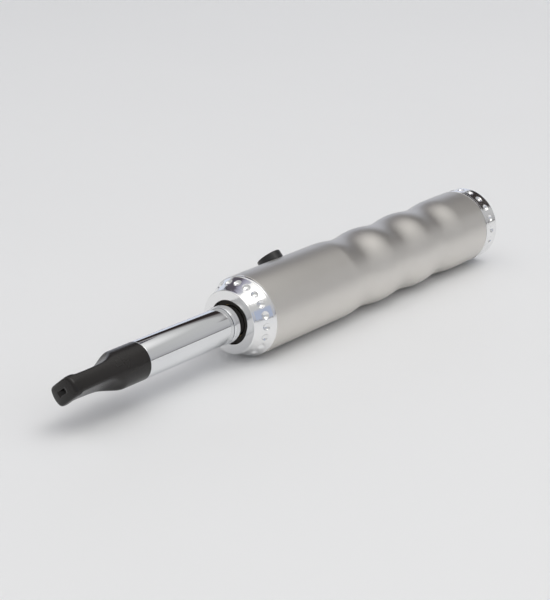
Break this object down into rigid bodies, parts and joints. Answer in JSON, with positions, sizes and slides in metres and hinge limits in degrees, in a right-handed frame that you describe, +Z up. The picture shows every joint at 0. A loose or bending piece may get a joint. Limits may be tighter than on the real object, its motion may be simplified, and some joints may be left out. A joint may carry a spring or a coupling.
{
  "type": "personal vaporiser",
  "caption": "Tube-style personal vaporiser: steel battery tube with finger grooves and fire button, dimpled end caps, slim screw-in atomiser and flat push-in mouthpiece.",
  "frame": {"origin": "middle of the length, on the surface the part lies on, under the tube's axis", "axes": "+X along the tube from the mouthpiece's tip to the rear cap's flat end, +Z up; the fire button is on the upper +Y side"},
  "size_m": [0.1668, 0.021, 0.0217],
  "materials": {
    "tube_steel": "satin, brushed round the tube",
    "cap_aluminium": "polished",
    "chrome": "mirror",
    "black_plastic": "satin black",
    "button_black": "satin gloss",
    "rubber": "matt",
    "brass": "plain",
    "white_plastic": "matt",
    "ceramic": "matt ceramic",
    "board": "solder-mask green",
    "cell_wrap": "shrink sleeve",
    "spring_steel": "drawn wire",
    "fibre": "soft fibre"
  },
  "bodies": {
    "battery": {"battery_tube": "tube_steel", "front_cap": "cap_aluminium", "front_o_ring": "rubber", "connector_liner": "black_plastic", "connector_ring": "rubber", "connector_socket": "brass", "connector_insulator": "white_plastic", "connector_pin": "brass", "switch_body": "black_plastic", "circuit_board": "board", "controller_chip": "black_plastic", "board_carrier": "white_plastic", "front_contact": "brass", "cell_terminal": "spring_steel", "battery_cell": "spring_steel", "cell_sleeve": "cell_wrap"},
    "button": {"fire_button": "button_black", "switch_plunger": "brass"},
    "tail": {"tail_contact": "brass", "tail_spring": "spring_steel"},
    "rear_cap": {"rear_cap": "cap_aluminium", "rear_o_ring": "rubber"},
    "centre_pin": {"atomiser_pin": "brass"},
    "atomiser": {"atomiser_base": "chrome", "atomiser_tube": "chrome", "atomiser_insulator": "white_plastic", "ceramic_cup": "ceramic", "heating_coil": "spring_steel", "wick": "fibre"},
    "mouthpiece": {"mouthpiece": "black_plastic", "cartridge_cup": "white_plastic", "cartridge_filler": "fibre"}
  },
  "joints": [
    {"name": "button_press", "type": "slide", "parent": "battery", "child": "button", "axis": [0, -0.6613, -0.7501], "range_m": [0, 0.0008], "stiffness_N_per_m": 1500, "springref_m": -0.0004},
    {"name": "rear_cap_travel", "type": "slide", "parent": "battery", "child": "tail", "axis": [1, 0, 0], "range_m": [0, 0.0031]},
    {"name": "rear_cap_turn", "type": "hinge", "parent": "tail", "child": "rear_cap", "pos_m": [0.08057, 0, 0.01048], "axis": [1, 0, 0], "range_deg": [0, 1080]},
    {"name": "atomiser_travel", "type": "slide", "parent": "battery", "child": "centre_pin", "axis": [-1, 0, 0], "range_m": [0, 0.0041]},
    {"name": "atomiser_turn", "type": "hinge", "parent": "centre_pin", "child": "atomiser", "pos_m": [-0.02712, 0, 0.01048], "axis": [-1, 0, 0], "range_deg": [0, 2880]},
    {"name": "mouthpiece_pull", "type": "slide", "parent": "atomiser", "child": "mouthpiece", "axis": [-1, 0, 0], "range_m": [0, 0.02]}
  ],
  "couplings": [
    {"joint": "rear_cap_travel", "follows": "rear_cap_turn", "m_per_rad": 0.00015915},
    {"joint": "atomiser_travel", "follows": "atomiser_turn", "m_per_rad": 0.000079577}
  ]
}
